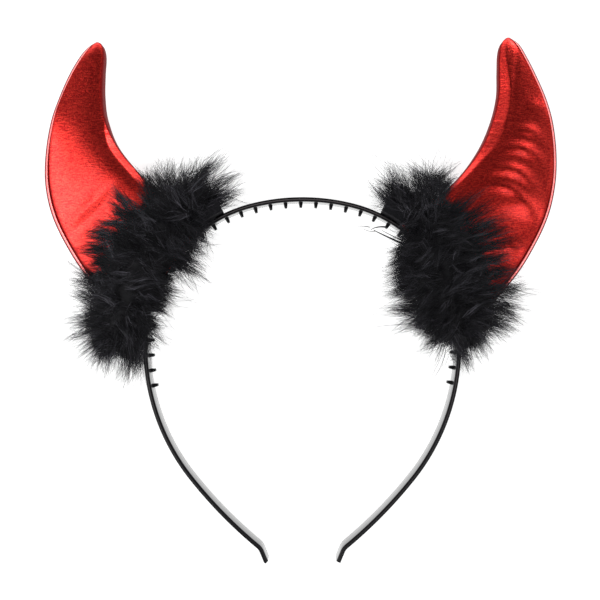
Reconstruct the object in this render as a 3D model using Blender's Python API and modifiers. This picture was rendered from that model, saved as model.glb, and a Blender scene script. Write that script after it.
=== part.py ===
# Devil horns headband, lying on its back.
# X runs across the band, +Y from the band's tips to the horns' tips, and +Z up out of the front.
# The origin is the middle of the bounding box, on the surface that the band lies on.
import bpy
import bmesh
import math
import random
from mathutils import Vector

MM = 0.001

# The headband, one plastic moulding.
BAND_CENTRE_X = 0.6 * MM
BAND_TOP_Y = 40.9 * MM
BAND_WIDTH = 8.0 * MM
BAND_THICKNESS = 1.8 * MM
BAND_EDGE_BEVEL = 0.4 * MM
BAND_STEP = 3.4 * MM
# radius (mm), turn (degrees): the arcs of one half of the band, from its top down to its tip
BAND_ARCS = (
    (83.0, 14.1),
    (56.2, 71.9),
    (84.6, 42.5),
    (186.0, 11.8),
)
# the same for the bend outward before each tip
TIP_ARC = (5.0, -28.0)
TIP_LENGTH = 4.6 * MM
# the moulding's pip on the end of the left tip
NUB_RADIUS = 0.5 * MM
NUB_HEIGHT = 6.0 * MM
NUB_SIDES = 8

# the comb teeth, pegs on the band's inner face
TOOTH_PITCH = 6.25 * MM
TEETH_EACH_SIDE = 18
TOOTH_ROW_SHIFT = -0.6 * MM
TOOTH_ROOT_WIDTH = 1.5 * MM
TOOTH_END_WIDTH = 0.95 * MM
TOOTH_LENGTH = 2.1 * MM
TOOTH_DEPTH = 3.0 * MM
TOOTH_SINK = 0.5 * MM

# The horns, padded cloth.
HORN_MID_Z = 8.6 * MM
HORN_ROUNDNESS = 0.8
HORN_SIDE_POINTS = 8
HORN_RINGS_PER_ROW = 2
# the seam's rim along the convex edge, and the groove beside it
RIM_WIDTH = 1.6 * MM
RIM_WIDEST_SHARE = 0.3
RIM_EDGE_SHARE = 0.06
RIM_THICKNESS = 1.1 * MM
GROOVE_THICKNESS = 0.8 * MM
FOLD_DEPTH = 0.6 * MM
FOLD_WIDTH = 0.3
# inner_x, inner_y: concave edge; outer_x, outer_y: convex edge; thick: front to back (mm), tip first
LEFT_HORN_ROWS = (
    (-80.6, 103.2, -82.0, 103.1, 1.6),
    (-78.9, 101.8, -84.7, 101.5, 4.6),
    (-78.2, 98.0, -88.0, 97.8, 6.8),
    (-78.7, 91.0, -92.2, 90.8, 8.4),
    (-78.9, 82.2, -96.4, 81.4, 10.0),
    (-77.7, 72.8, -99.7, 71.8, 11.4),
    (-73.3, 62.2, -101.8, 59.4, 12.6),
    (-65.7, 52.5, -102.0, 47.0, 13.2),
    (-57.3, 44.2, -99.5, 35.0, 13.4),
    (-47.8, 38.6, -94.0, 23.0, 13.2),
    (-38.3, 34.6, -85.4, 9.6, 12.4),
    (-29.8, 29.6, -72.8, -4.4, 11.2),
    (-22.3, 22.6, -57.8, -15.9, 10.4),
)
RIGHT_HORN_ROWS = (
    (81.9, 105.0, 83.7, 105.1, 1.6),
    (79.9, 102.8, 87.1, 102.6, 4.8),
    (78.9, 98.8, 89.9, 98.2, 7.0),
    (78.7, 91.2, 93.7, 90.8, 8.6),
    (78.5, 82.0, 97.9, 81.2, 10.2),
    (76.3, 72.2, 100.7, 71.4, 11.6),
    (72.1, 62.0, 102.1, 59.2, 12.6),
    (65.5, 52.2, 101.7, 47.2, 13.2),
    (57.3, 44.0, 99.1, 35.0, 13.4),
    (48.2, 38.4, 93.9, 23.2, 13.2),
    (39.2, 34.6, 85.9, 10.2, 12.4),
    (30.7, 29.6, 73.3, -4.0, 11.2),
    (23.2, 22.6, 58.8, -15.9, 10.4),
)
# along: place from the tip (0) to the foot (1); across: from the concave (0) to the convex edge (1);
# reach: the fold's half-width along the horn
LEFT_FOLDS = (
    (0.66, 0.45, 0.040),
    (0.74, 0.60, 0.030),
    (0.80, 0.40, 0.030),
)
RIGHT_FOLDS = (
    (0.45, 0.55, 0.030),
    (0.52, 0.55, 0.030),
    (0.60, 0.55, 0.034),
    (0.68, 0.55, 0.034),
    (0.76, 0.60, 0.034),
)

# The felt cuffs, each a channel on the band's outer face that the foot of the horn stands in.
CUFF_WALL = 1.2 * MM
CUFF_HEIGHT = 5.2 * MM
CUFF_START = 32.0 * MM
CUFF_END = 93.0 * MM
CUFF_INNER_DEPTH = 10.0 * MM
CUFF_STEP = 4.0 * MM

# The marabou trims.
GAP = 0.3 * MM
FUR_SIDES = 12
FUR_RINGS_PER_ROW = 2
FUR_MID_SHARE = 0.47
FUR_HALF_LENGTH = 38.0 * MM
LOCK_SLIMNESS = 1.45
LOCK_LENGTH_CHANGE = 0.35
LOCK_BEND_PLACE = 0.45
LOCK_BEND_SIZE = 0.62
LOCK_END_SIZE = 0.12
LOCK_LEAN = 0.35
LOCK_START_LEAN = 0.5
LOCK_SPREAD = 0.5
LOCK_DROOP = 0.15
LOCK_LOWEST = 3.0 * MM
# how far the trim hangs over the band's front, inside the arch
FUR_OVERHANG = 26.0 * MM
FUR_ROOM_START = 10.0 * MM
FUR_SEED = 7
# x, y: centre line; radius: across the view; high: top of the core above the table (mm)
LEFT_FUR_ROWS = (
    (-34.8, 49.9, 2.0, 11.0),
    (-38.4, 45.7, 7.0, 15.0),
    (-44.6, 39.3, 10.5, 17.0),
    (-52.0, 31.3, 13.0, 18.5),
    (-59.3, 21.8, 14.0, 19.0),
    (-66.0, 9.1, 14.0, 19.0),
    (-71.0, -4.7, 13.5, 17.5),
    (-73.4, -15.2, 8.5, 14.0),
    (-74.0, -19.7, 2.0, 10.0),
)
RIGHT_FUR_ROWS = (
    (36.8, 48.7, 2.0, 11.0),
    (39.2, 44.3, 7.0, 15.0),
    (44.6, 38.3, 11.5, 17.0),
    (50.4, 29.7, 14.5, 18.5),
    (54.2, 18.4, 17.0, 19.0),
    (58.6, 5.9, 17.5, 19.0),
    (64.4, -6.3, 14.0, 17.5),
    (68.2, -15.2, 8.0, 14.0),
    (69.6, -19.7, 2.0, 10.0),
)

# The blocks that the trims are cut with.
CUT_DEPTH = 20.0 * MM
CUT_HEIGHT = 40.0 * MM
TABLE_HALF_WIDTH = 150.0 * MM

# name: (colour, roughness, metallic)
MATERIALS = {
    "black_plastic": ((0.012, 0.012, 0.013, 1.0), 0.25, 0.0),
    "red_lame": ((0.65, 0.03, 0.03, 1.0), 0.3, 1.0),
    "black_felt": ((0.02, 0.02, 0.022, 1.0), 0.95, 0.0),
    "black_marabou": ((0.015, 0.014, 0.017, 1.0), 0.9, 0.0),
}


SIDES = {
    "left": (-1, LEFT_HORN_ROWS, LEFT_FOLDS, LEFT_FUR_ROWS),
    "right": (1, RIGHT_HORN_ROWS, RIGHT_FOLDS, RIGHT_FUR_ROWS),
}


def clear_scene():
    for item in list(bpy.data.objects):
        bpy.data.objects.remove(item, do_unlink=True)


def make_collection(name):
    collection = bpy.data.collections.new(name)
    bpy.context.scene.collection.children.link(collection)
    return collection


def make_material(name):
    colour, roughness, metallic = MATERIALS[name]
    material = bpy.data.materials.new(name)
    material.use_nodes = True
    shader = material.node_tree.nodes["Principled BSDF"]
    shader.inputs["Base Color"].default_value = colour
    shader.inputs["Roughness"].default_value = roughness
    shader.inputs["Metallic"].default_value = metallic
    return material


def add_part(mesh, collection, material):
    item = bpy.data.objects.new(mesh.name, mesh)
    collection.objects.link(item)
    mesh.materials.append(material)
    return item


def add_cutter(mesh, collection):
    item = bpy.data.objects.new(mesh.name, mesh)
    collection.objects.link(item)
    item.hide_render = True
    item.display_type = "WIRE"
    return item


def add_boolean(item, other, operation):
    modifier = item.modifiers.new(other.name, "BOOLEAN")
    modifier.operation = operation
    modifier.object = other
    modifier.solver = "EXACT"


def loft(name, rings):
    """A closed skin over rings of equally many points, with a flat cap on each end."""
    size = len(rings[0])
    points = [tuple(point) for ring in rings for point in ring]
    faces = []
    for number in range(len(rings) - 1):
        first = number * size
        for side in range(size):
            after = (side + 1) % size
            faces.append((first + side, first + after, first + size + after, first + size + side))
    faces.append(tuple(range(size)))
    faces.append(tuple(range(len(points) - size, len(points))))
    mesh = bpy.data.meshes.new(name)
    mesh.from_pydata(points, [], faces)
    shape = bmesh.new()
    shape.from_mesh(mesh)
    bmesh.ops.recalc_face_normals(shape, faces=shape.faces)
    shape.to_mesh(mesh)
    shape.free()
    return mesh


def join_meshes(name, meshes):
    shape = bmesh.new()
    for mesh in meshes:
        shape.from_mesh(mesh)
        bpy.data.meshes.remove(mesh)
    joined = bpy.data.meshes.new(name)
    shape.to_mesh(joined)
    shape.free()
    return joined


def half_arch_point(distance, outward):
    """x and y at a distance from the top of the band, as if its middle were x = 0."""
    x, y, heading = 0.0, BAND_TOP_Y, 0.0
    left = distance
    for radius_mm, turn in BAND_ARCS + (TIP_ARC,):
        radius = radius_mm * MM
        sign = math.copysign(1.0, turn)
        swept = min(left / radius, abs(math.radians(turn)))
        after = heading + sign * swept
        x += sign * radius * (math.sin(after) - math.sin(heading))
        y += sign * radius * (math.cos(after) - math.cos(heading))
        heading = after
        left -= swept * radius
    x += left * math.cos(heading) + outward * math.sin(heading)
    y += outward * math.cos(heading) - left * math.sin(heading)
    return x, y


def arch_point(distance, outward=0.0, height=0.0):
    """A place beside the band's centre line. Negative distances lie on the left half."""
    x, y = half_arch_point(abs(distance), outward)
    return BAND_CENTRE_X + math.copysign(x, distance), y, height


def band_length():
    """Length of half of the band, from its top to the end of its tip."""
    arcs = sum(radius * MM * abs(math.radians(turn)) for radius, turn in BAND_ARCS + (TIP_ARC,))
    return arcs + TIP_LENGTH


def spread(start, end, step):
    count = max(2, round((end - start) / step))
    return [start + (end - start) * number / count for number in range(count + 1)]


def sweep_arch(name, distances, section):
    """A closed sweep along the arch. The section's points are (outward, height)."""
    rings = [
        [arch_point(distance, outward, height) for outward, height in section]
        for distance in distances
    ]
    return loft(name, rings)


def box_section(inner, outer, low, high):
    return [(inner, low), (outer, low), (outer, high), (inner, high)]


def make_tooth(distance):
    """A peg that tapers away from the band's inner face."""
    inner_face = -BAND_THICKNESS / 2
    ends = (
        (TOOTH_ROOT_WIDTH, inner_face + TOOTH_SINK),
        (TOOTH_END_WIDTH, inner_face - TOOTH_LENGTH),
    )
    rings = []
    for width, outward in ends:
        ring = []
        for along, up in ((-1, -1), (1, -1), (1, 1), (-1, 1)):
            height = (BAND_WIDTH + up * TOOTH_DEPTH) / 2
            ring.append(arch_point(distance + along * width / 2, outward, height))
        rings.append(ring)
    return loft("tooth", rings)


def make_nub():
    x, y, _ = arch_point(-band_length() - NUB_RADIUS / 2, BAND_THICKNESS / 2 - NUB_RADIUS)
    rings = []
    for height in ((BAND_WIDTH - NUB_HEIGHT) / 2, (BAND_WIDTH + NUB_HEIGHT) / 2):
        ring = []
        for side in range(NUB_SIDES):
            angle = 2 * math.pi * side / NUB_SIDES
            ring.append((x + NUB_RADIUS * math.cos(angle), y + NUB_RADIUS * math.sin(angle), height))
        rings.append(ring)
    return loft("nub", rings)


def make_headband(parts, cutters, material):
    end = band_length()
    half = BAND_THICKNESS / 2
    section = box_section(-half, half, 0.0, BAND_WIDTH)
    band = add_part(sweep_arch("headband", spread(-end, end, BAND_STEP), section), parts, material)
    bevel = band.modifiers.new("edges", "BEVEL")
    bevel.width = BAND_EDGE_BEVEL
    bevel.segments = 1
    bevel.limit_method = "ANGLE"
    bevel.angle_limit = math.radians(60)
    numbers = range(-TEETH_EACH_SIDE, TEETH_EACH_SIDE + 1)
    teeth = [make_tooth(number * TOOTH_PITCH + TOOTH_ROW_SHIFT) for number in numbers]
    add_boolean(band, add_cutter(join_meshes("teeth", teeth), cutters), "UNION")
    add_boolean(band, add_cutter(make_nub(), cutters), "UNION")


def smooth_between(before, start, end, after, share):
    """Catmull-Rom value between start and end."""
    slope_in = (end - before) / 2
    slope_out = (after - start) / 2
    square = share * share
    cube = square * share
    return (
        (2 * cube - 3 * square + 1) * start
        + (cube - 2 * square + share) * slope_in
        + (3 * square - 2 * cube) * end
        + (cube - square) * slope_out
    )


def smooth_rows(rows, per_row):
    """Rows between the given ones, on smooth curves through each column."""
    result = []
    last = len(rows) - 1
    for number in range(last * per_row + 1):
        index = min(number // per_row, last - 1)
        share = number / per_row - index
        around = [rows[max(0, min(last, index + shift))] for shift in (-1, 0, 1, 2)]
        result.append(tuple(smooth_between(*column, share) for column in zip(*around)))
    return result


def fold_depth(folds, along, across):
    depth = 0.0
    for place, middle, reach in folds:
        near = ((along - place) / reach) ** 2 + ((across - middle) / FOLD_WIDTH) ** 2
        depth += FOLD_DEPTH * math.exp(-near)
    return depth


def horn_half_section(thick, width, folds, along):
    """Shares of the width with half-thicknesses, from beside the concave edge to the rim."""
    rim = min(RIM_WIDTH / width, RIM_WIDEST_SHARE)
    body = 1.0 - rim
    half = []
    for number in range(1, HORN_SIDE_POINTS):
        angle = math.pi * number / HORN_SIDE_POINTS
        across = body * (1.0 - math.cos(angle)) / 2
        swell = thick / 2 * math.sin(angle) ** HORN_ROUNDNESS
        height = max(swell - fold_depth(folds, along, across), GROOVE_THICKNESS / 2)
        half.append((across, height))
    half.append((body, GROOVE_THICKNESS / 2))
    half.append((body + rim / 2, RIM_THICKNESS / 2))
    half.append((1.0 - RIM_EDGE_SHARE * rim, RIM_THICKNESS / 4))
    return half


def make_horn_mesh(name, rows, folds):
    """A padded horn: sections of a rounded cushion with a rim, from the tip to the foot."""
    smooth = smooth_rows(rows, HORN_RINGS_PER_ROW)
    rings = []
    for number, (inner_x, inner_y, outer_x, outer_y, thick) in enumerate(smooth):
        inner = Vector((inner_x, inner_y, 0.0)) * MM
        outer = Vector((outer_x, outer_y, 0.0)) * MM
        along = number / (len(smooth) - 1)
        half = horn_half_section(thick * MM, (outer - inner).length, folds, along)
        section = [(0.0, 0.0)] + half + [(1.0, 0.0)]
        section += [(across, -height) for across, height in reversed(half)]
        ring = []
        for across, height in section:
            place = inner.lerp(outer, across)
            ring.append((place.x, place.y, HORN_MID_Z + height))
        rings.append(ring)
    mesh = loft(name, rings)
    mesh.shade_smooth()
    return mesh


def swell_mesh(mesh, distance):
    shape = bmesh.new()
    shape.from_mesh(mesh)
    shape.normal_update()
    moves = [(vert, vert.normal * distance) for vert in shape.verts]
    for vert, move in moves:
        vert.co += move
    shape.to_mesh(mesh)
    shape.free()


def make_inside_block(name, outward):
    """All that lies inside the arch, out to a distance from the band's centre line."""
    end = band_length()
    distances = spread(-end, end, BAND_STEP)
    rings = []
    for height in (-CUT_DEPTH, CUT_HEIGHT):
        rings.append([arch_point(distance, outward, height) for distance in distances])
    return loft(name, rings)


def make_table():
    corners = ((-1, -1), (1, -1), (1, 1), (-1, 1))
    rings = []
    for height in (-CUT_HEIGHT, 0.0):
        rings.append([(x * TABLE_HALF_WIDTH, y * TABLE_HALF_WIDTH, height) for x, y in corners])
    return loft("table", rings)


def make_cuff(name, side):
    """A felt channel: a floor on the band's outer face, and a wall in front of and behind the horn."""
    seat = BAND_THICKNESS / 2 + GAP
    top = seat + CUFF_HEIGHT
    floor = seat + CUFF_WALL
    inside = CUFF_INNER_DEPTH / 2
    half = [(top, inside + CUFF_WALL), (top, inside), (floor, inside)]
    section = [(seat, inside + CUFF_WALL)] + half
    section += [(outward, -height) for outward, height in reversed(section)]
    section = [(outward, HORN_MID_Z + height) for outward, height in section]
    distances = [side * distance for distance in spread(CUFF_START, CUFF_END, CUFF_STEP)]
    return sweep_arch(name, distances, section)


def make_fur_core(rows):
    """The trim's dense core: a plump roll along the foot of the horn."""
    smooth = smooth_rows(rows, FUR_RINGS_PER_ROW)
    rings = []
    for number, (x, y, radius, high) in enumerate(smooth):
        before = smooth[max(0, number - 1)]
        after = smooth[min(len(smooth) - 1, number + 1)]
        heading = Vector((after[0] - before[0], after[1] - before[1], 0.0)).normalized()
        across = Vector((-heading.y, heading.x, 0.0))
        ring = []
        for side in range(FUR_SIDES):
            angle = 2 * math.pi * side / FUR_SIDES
            place = Vector((x, y, FUR_MID_SHARE * high)) + across * math.cos(angle) * radius
            place.z += (1.0 - FUR_MID_SHARE) * high * math.sin(angle)
            ring.append(place * MM)
        rings.append(ring)
    return loft("fur_core", rings)


def grow_step(shape, faces, moves, size):
    """Extrudes each face by itself, then moves and shrinks it."""
    grown = bmesh.ops.extrude_discrete_faces(shape, faces=faces)["faces"]
    for face, move in zip(grown, moves):
        centre = face.calc_center_median()
        for vert in face.verts:
            vert.co = centre + (vert.co - centre) * size + move
    return grown


def make_fur_mesh(name, rows):
    """A core whose faces grow into tapered locks that spread towards the ends of the roll."""
    pick = random.Random(FUR_SEED)
    core = make_fur_core(rows)
    shape = bmesh.new()
    shape.from_mesh(core)
    bpy.data.meshes.remove(core)
    shape.normal_update()
    middle = Vector(rows[len(rows) // 2][:2]) * MM
    along = (Vector(rows[-1][:2]) - Vector(rows[0][:2])).normalized()
    faces = [face for face in shape.faces if face.calc_center_median().z > LOCK_LOWEST]
    first_moves = []
    second_moves = []
    for face in faces:
        share = (face.calc_center_median().to_2d() - middle).dot(along) / FUR_HALF_LENGTH
        to_end = along.to_3d() * share * LOCK_SPREAD
        lean = Vector([pick.uniform(-1, 1) for _ in range(3)]) * LOCK_LEAN
        length = math.sqrt(face.calc_area()) * LOCK_SLIMNESS
        length *= 1.0 + LOCK_LENGTH_CHANGE * pick.uniform(-1, 1)
        start = (face.normal + (to_end + lean) * LOCK_START_LEAN).normalized()
        end = (face.normal + to_end + lean - Vector((0.0, 0.0, LOCK_DROOP))).normalized()
        first_moves.append(start * length * LOCK_BEND_PLACE)
        second_moves.append(end * length * (1.0 - LOCK_BEND_PLACE))
    grown = grow_step(shape, faces, first_moves, LOCK_BEND_SIZE)
    grow_step(shape, grown, second_moves, LOCK_END_SIZE / LOCK_BEND_SIZE)
    mesh = bpy.data.meshes.new(name)
    shape.to_mesh(mesh)
    shape.free()
    return mesh


def bodies_of(shape):
    """The separate bodies of a mesh, each as a set of its corners."""
    left = set(shape.verts)
    bodies = []
    while left:
        start = left.pop()
        body = {start}
        waiting = [start]
        while waiting:
            for edge in waiting.pop().link_edges:
                reached = left.intersection(edge.verts)
                left -= reached
                body |= reached
                waiting += reached
        bodies.append(body)
    return bodies


def keep_main_body(item):
    """Applies the cuts and drops the crumbs that they leave beside the main body."""
    depsgraph = bpy.context.evaluated_depsgraph_get()
    shape = bmesh.new()
    shape.from_mesh(item.evaluated_get(depsgraph).to_mesh())
    bodies = bodies_of(shape)
    main_body = max(bodies, key=len)
    crumbs = [vert for body in bodies if body is not main_body for vert in body]
    bmesh.ops.delete(shape, geom=crumbs, context="VERTS")
    item.modifiers.clear()
    shape.to_mesh(item.data)
    shape.free()


def make_trim_rooms(name, side):
    """Room in a trim for the cuff, and for the band with all that lies inside it below its front."""
    outer = BAND_THICKNESS / 2 + 2 * GAP
    band_section = box_section(-FUR_OVERHANG, outer, -GAP, BAND_WIDTH + GAP)
    along_band = [side * distance for distance in spread(FUR_ROOM_START, band_length(), BAND_STEP)]
    deep = CUFF_INNER_DEPTH / 2 + CUFF_WALL + GAP
    cuff_section = box_section(0.0, outer + CUFF_HEIGHT, HORN_MID_Z - deep, HORN_MID_Z + deep)
    return [
        sweep_arch(f"{name}_band_room", along_band, band_section),
        sweep_arch(f"{name}_cuff_room", cuff_room_distances(side), cuff_section),
    ]


def make_wall_rooms(name, side):
    """What the cuff's two walls take off the foot of the horn, with a gap."""
    outer = BAND_THICKNESS / 2 + CUFF_HEIGHT + 2 * GAP
    inside = CUFF_INNER_DEPTH / 2 - GAP
    rooms = []
    for word, low, high in (("front", inside, 2 * inside), ("back", -2 * inside, -inside)):
        section = box_section(0.0, outer, HORN_MID_Z + low, HORN_MID_Z + high)
        rooms.append(sweep_arch(f"{name}_{word}_wall_room", cuff_room_distances(side), section))
    return rooms


def cuff_room_distances(side):
    return [side * distance for distance in spread(CUFF_START - GAP, CUFF_END + GAP, CUFF_STEP)]


def make_side(name, parts, cutters, materials):
    side, horn_rows, folds, fur_rows = SIDES[name]
    add_part(make_cuff(f"{name}_base_cuff", side), parts, materials["black_felt"])

    horn = add_part(make_horn_mesh(f"{name}_horn", horn_rows, folds), parts, materials["red_lame"])
    foot = BAND_THICKNESS / 2 + 2 * GAP + CUFF_WALL
    for mesh in [make_inside_block(f"{name}_foot_room", foot)] + make_wall_rooms(name, side):
        add_boolean(horn, add_cutter(mesh, cutters), "DIFFERENCE")

    fur = add_part(make_fur_mesh(f"{name}_fur_trim", fur_rows), parts, materials["black_marabou"])
    horn_room = make_horn_mesh(f"{name}_horn_room", horn_rows, ())
    swell_mesh(horn_room, GAP)
    for mesh in [make_table(), horn_room] + make_trim_rooms(name, side):
        add_boolean(fur, add_cutter(mesh, cutters), "DIFFERENCE")
    keep_main_body(fur)


def main():
    clear_scene()
    parts = make_collection("devil_horns_headband")
    cutters = make_collection("cutters")
    materials = {name: make_material(name) for name in MATERIALS}
    make_headband(parts, cutters, materials["black_plastic"])
    for name in SIDES:
        make_side(name, parts, cutters, materials)


main()
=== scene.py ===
import math
import bmesh
import bpy
import numpy as np
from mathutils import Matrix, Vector


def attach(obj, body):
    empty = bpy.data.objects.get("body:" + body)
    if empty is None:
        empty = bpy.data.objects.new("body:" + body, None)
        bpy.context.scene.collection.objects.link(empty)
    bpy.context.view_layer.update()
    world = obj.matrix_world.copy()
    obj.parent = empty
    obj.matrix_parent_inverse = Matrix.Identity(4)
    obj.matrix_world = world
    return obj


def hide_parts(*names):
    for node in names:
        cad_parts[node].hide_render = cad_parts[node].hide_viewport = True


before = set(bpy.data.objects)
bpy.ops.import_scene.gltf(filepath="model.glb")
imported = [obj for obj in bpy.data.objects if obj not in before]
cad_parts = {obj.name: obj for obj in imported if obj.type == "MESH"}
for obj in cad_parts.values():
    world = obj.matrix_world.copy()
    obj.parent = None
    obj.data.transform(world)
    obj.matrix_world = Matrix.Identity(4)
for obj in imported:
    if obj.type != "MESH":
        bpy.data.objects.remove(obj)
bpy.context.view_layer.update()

# Devil horns headband, lying on its back and seen from straight above.
# Sizes are in millimetres, in the row frame, and become metres where a mesh is made.

mm = 0.001
print("frame loaded:", ", ".join(sorted(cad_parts)))


# shader tools

class Wire:
    # one socket of a graph; sums of wires and numbers add Math nodes

    def __init__(self, graph, socket):
        self.graph = graph
        self.socket = socket

    def math(self, operation, *values):
        return self.graph.node("ShaderNodeMath", {"operation": operation}, dict(enumerate(values)))

    def __add__(self, other):
        return self.math("ADD", self, other)

    __radd__ = __add__

    def __sub__(self, other):
        return self.math("SUBTRACT", self, other)

    def __rsub__(self, other):
        return self.math("SUBTRACT", other, self)

    def __mul__(self, other):
        return self.math("MULTIPLY", self, other)

    __rmul__ = __mul__

    def __pow__(self, other):
        return self.math("POWER", self, other)

    def smooth(self, low, high):
        # 0 below low, 1 above high, and a soft step between
        settings = {"interpolation_type": "SMOOTHSTEP"}
        sockets = {"Value": self, "From Min": low, "From Max": high}
        return self.graph.node("ShaderNodeMapRange", settings, sockets)


class Graph:
    # the nodes of a material or of the world

    def __init__(self, owner, last):
        owner.use_nodes = True
        self.tree = owner.node_tree
        self.last = self.tree.nodes[last]

    def put(self, socket, value):
        if isinstance(value, Wire):
            self.tree.links.new(value.socket, socket)
        else:
            socket.default_value = value

    def node(self, kind, settings=None, sockets=None, output=0):
        made = self.tree.nodes.new(kind)
        for name, value in (settings or {}).items():
            setattr(made, name, value)
        for name, value in (sockets or {}).items():
            self.put(made.inputs[name], value)
        return Wire(self, made.outputs[output])

    def feed(self, **wires):
        for name, wire in wires.items():
            self.put(self.last.inputs[name.replace("_", " ")], wire)


class Finish(Graph):
    # a material and its shader; fixed values are set on the shader's own sockets

    def __init__(self, name, fixed):
        self.material = bpy.data.materials.new(name)
        super().__init__(self.material, "Principled BSDF")
        for socket, value in fixed.items():
            self.last.inputs[socket].default_value = value

    def value(self, name):
        # a number kept on the points
        return self.node("ShaderNodeAttribute", {"attribute_name": name}, None, "Fac")

    def place(self):
        # the point's place on the object, in metres
        return self.node("ShaderNodeTexCoord", output="Object")

    def scaled(self, vector, factors):
        return self.node("ShaderNodeVectorMath", {"operation": "MULTIPLY"}, {0: vector, 1: factors})

    def noise(self, vector, scale, detail=2.0, roughness=0.5):
        sockets = {"Vector": vector, "Scale": scale, "Detail": detail, "Roughness": roughness}
        return self.node("ShaderNodeTexNoise", None, sockets)

    def mixColour(self, factor, first, second):
        # a Mix node keeps its colour sockets at 6 and 7, and gives the colour at 2
        return self.node("ShaderNodeMix", {"data_type": "RGBA"}, {0: factor, 6: first, 7: second}, 2)

    def bump(self, height, depth, strength=1.0):
        sockets = {"Height": height, "Distance": depth * mm, "Strength": strength}
        return self.node("ShaderNodeBump", None, sockets)


# mesh tools

def addItem(name, data):
    item = bpy.data.objects.new(name, data)
    bpy.context.scene.collection.objects.link(item)
    return item


def addMesh(name, points, quads=(), triangles=(), finish=None):
    # points in millimetres; quads and triangles are arrays of point numbers
    quads = np.asarray(quads, np.int32).reshape(-1, 4)
    triangles = np.asarray(triangles, np.int32).reshape(-1, 3)
    mesh = bpy.data.meshes.new(name)
    corners = np.concatenate([quads.ravel(), triangles.ravel()])
    sizes = np.concatenate([np.full(len(quads), 4), np.full(len(triangles), 3)]).astype(np.int32)
    starts = np.concatenate([[0], np.cumsum(sizes)[:-1]]).astype(np.int32)
    mesh.vertices.add(len(points))
    mesh.vertices.foreach_set("co", (np.asarray(points) * mm).astype(np.float32).ravel())
    mesh.loops.add(len(corners))
    mesh.loops.foreach_set("vertex_index", corners)
    mesh.polygons.add(len(sizes))
    mesh.polygons.foreach_set("loop_start", starts)
    mesh.polygons.foreach_set("loop_total", sizes)
    mesh.update(calc_edges=True)
    mesh.validate()
    mesh.shade_smooth()
    if finish is not None:
        mesh.materials.append(finish.material)
    return addItem(name, mesh)


def addValues(item, name, values):
    # a number on each point, or one for all of them, for the shader to read
    attribute = item.data.attributes.new(name, "FLOAT", "POINT")
    attribute.data.foreach_set("value", np.zeros(len(item.data.vertices), np.float32) + np.float32(values))


def circle(count):
    # evenly spaced angles round a full turn
    return np.linspace(0, 2 * math.pi, count, endpoint=False)


def unit(vectors):
    return vectors / np.maximum(np.linalg.norm(vectors, axis=-1, keepdims=True), 1e-9)


ripples = {"waysEach": 4, "gain": 1.6}


def ripple(x, y, waves, seed):
    # smooth unevenness, mostly from -1 to 1; waves are the wavelengths, in millimetres
    pick = np.random.default_rng(seed)
    total = np.zeros(np.broadcast(x, y).shape)
    for wave in waves:
        for _ in range(ripples["waysEach"]):
            angle, phase = pick.uniform(0, 2 * math.pi, 2)
            total += np.sin((x * math.cos(angle) + y * math.sin(angle)) * 2 * math.pi / wave + phase)
    return total / (ripples["waysEach"] * len(waves)) * ripples["gain"]


# the camera, straight above as in the photo

camera = {"x": -0.3, "y": 0.6, "height": 341.3, "lens": 50.0, "sensor": 36.0, "nearest": 10.0}


def addCamera():
    data = bpy.data.cameras.new("camera")
    data.lens = camera["lens"]
    data.sensor_width = camera["sensor"]
    data.clip_start = camera["nearest"] * mm
    item = addItem("camera", data)
    item.location = Vector((camera["x"], camera["y"], camera["height"])) * mm
    bpy.context.scene.camera = item


addCamera()
print("camera placed")


# the band's line, as the solids have it

bandLine = {
    "centreX": 0.6,
    "topY": 40.9,
    # radius, turn in degrees: from the band's top down to its tip, the bend before the tip last
    "arcs": ((83.0, 14.1), (56.2, 71.9), (84.6, 42.5), (186.0, 11.8), (5.0, -28.0)),
    "tipLength": 4.6,
    "step": 0.05,
    "coarseStep": 0.5,  # for finding the nearest place on the line
    "batch": 20000,  # points looked up at once
}


def halfLine():
    # distance, x, y and heading along one half of the centre line
    places, headings = [0.0], [0.0]
    for radius, turn in bandLine["arcs"]:
        places.append(places[-1] + radius * abs(math.radians(turn)))
        headings.append(headings[-1] + math.radians(turn))
    places.append(places[-1] + bandLine["tipLength"])
    headings.append(headings[-1])
    distance = np.linspace(0.0, places[-1], round(places[-1] / bandLine["step"]) + 1)
    heading = np.interp(distance, places, headings)
    middle = (heading[1:] + heading[:-1]) / 2
    step = np.diff(distance)
    x = np.concatenate([[0.0], np.cumsum(np.cos(middle) * step)])
    y = bandLine["topY"] - np.concatenate([[0.0], np.cumsum(np.sin(middle) * step)])
    return distance, x, y, heading


lineDistance, lineX, lineY, lineHeading = halfLine()
bandEnd = lineDistance[-1]


def archPlace(distance, outward, height):
    # points beside the band's centre line; negative distances lie on the left half
    distance, outward, height = np.broadcast_arrays(distance, outward, height)
    along = np.abs(distance)
    past = np.maximum(along - bandEnd, 0.0)
    heading = np.interp(along, lineDistance, lineHeading)
    x = np.interp(along, lineDistance, lineX) + outward * np.sin(heading) + past * np.cos(heading)
    y = np.interp(along, lineDistance, lineY) + outward * np.cos(heading) - past * np.sin(heading)
    side = np.where(distance < 0, -1.0, 1.0)
    return np.stack([bandLine["centreX"] + side * x, y, height], axis=-1)


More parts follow.
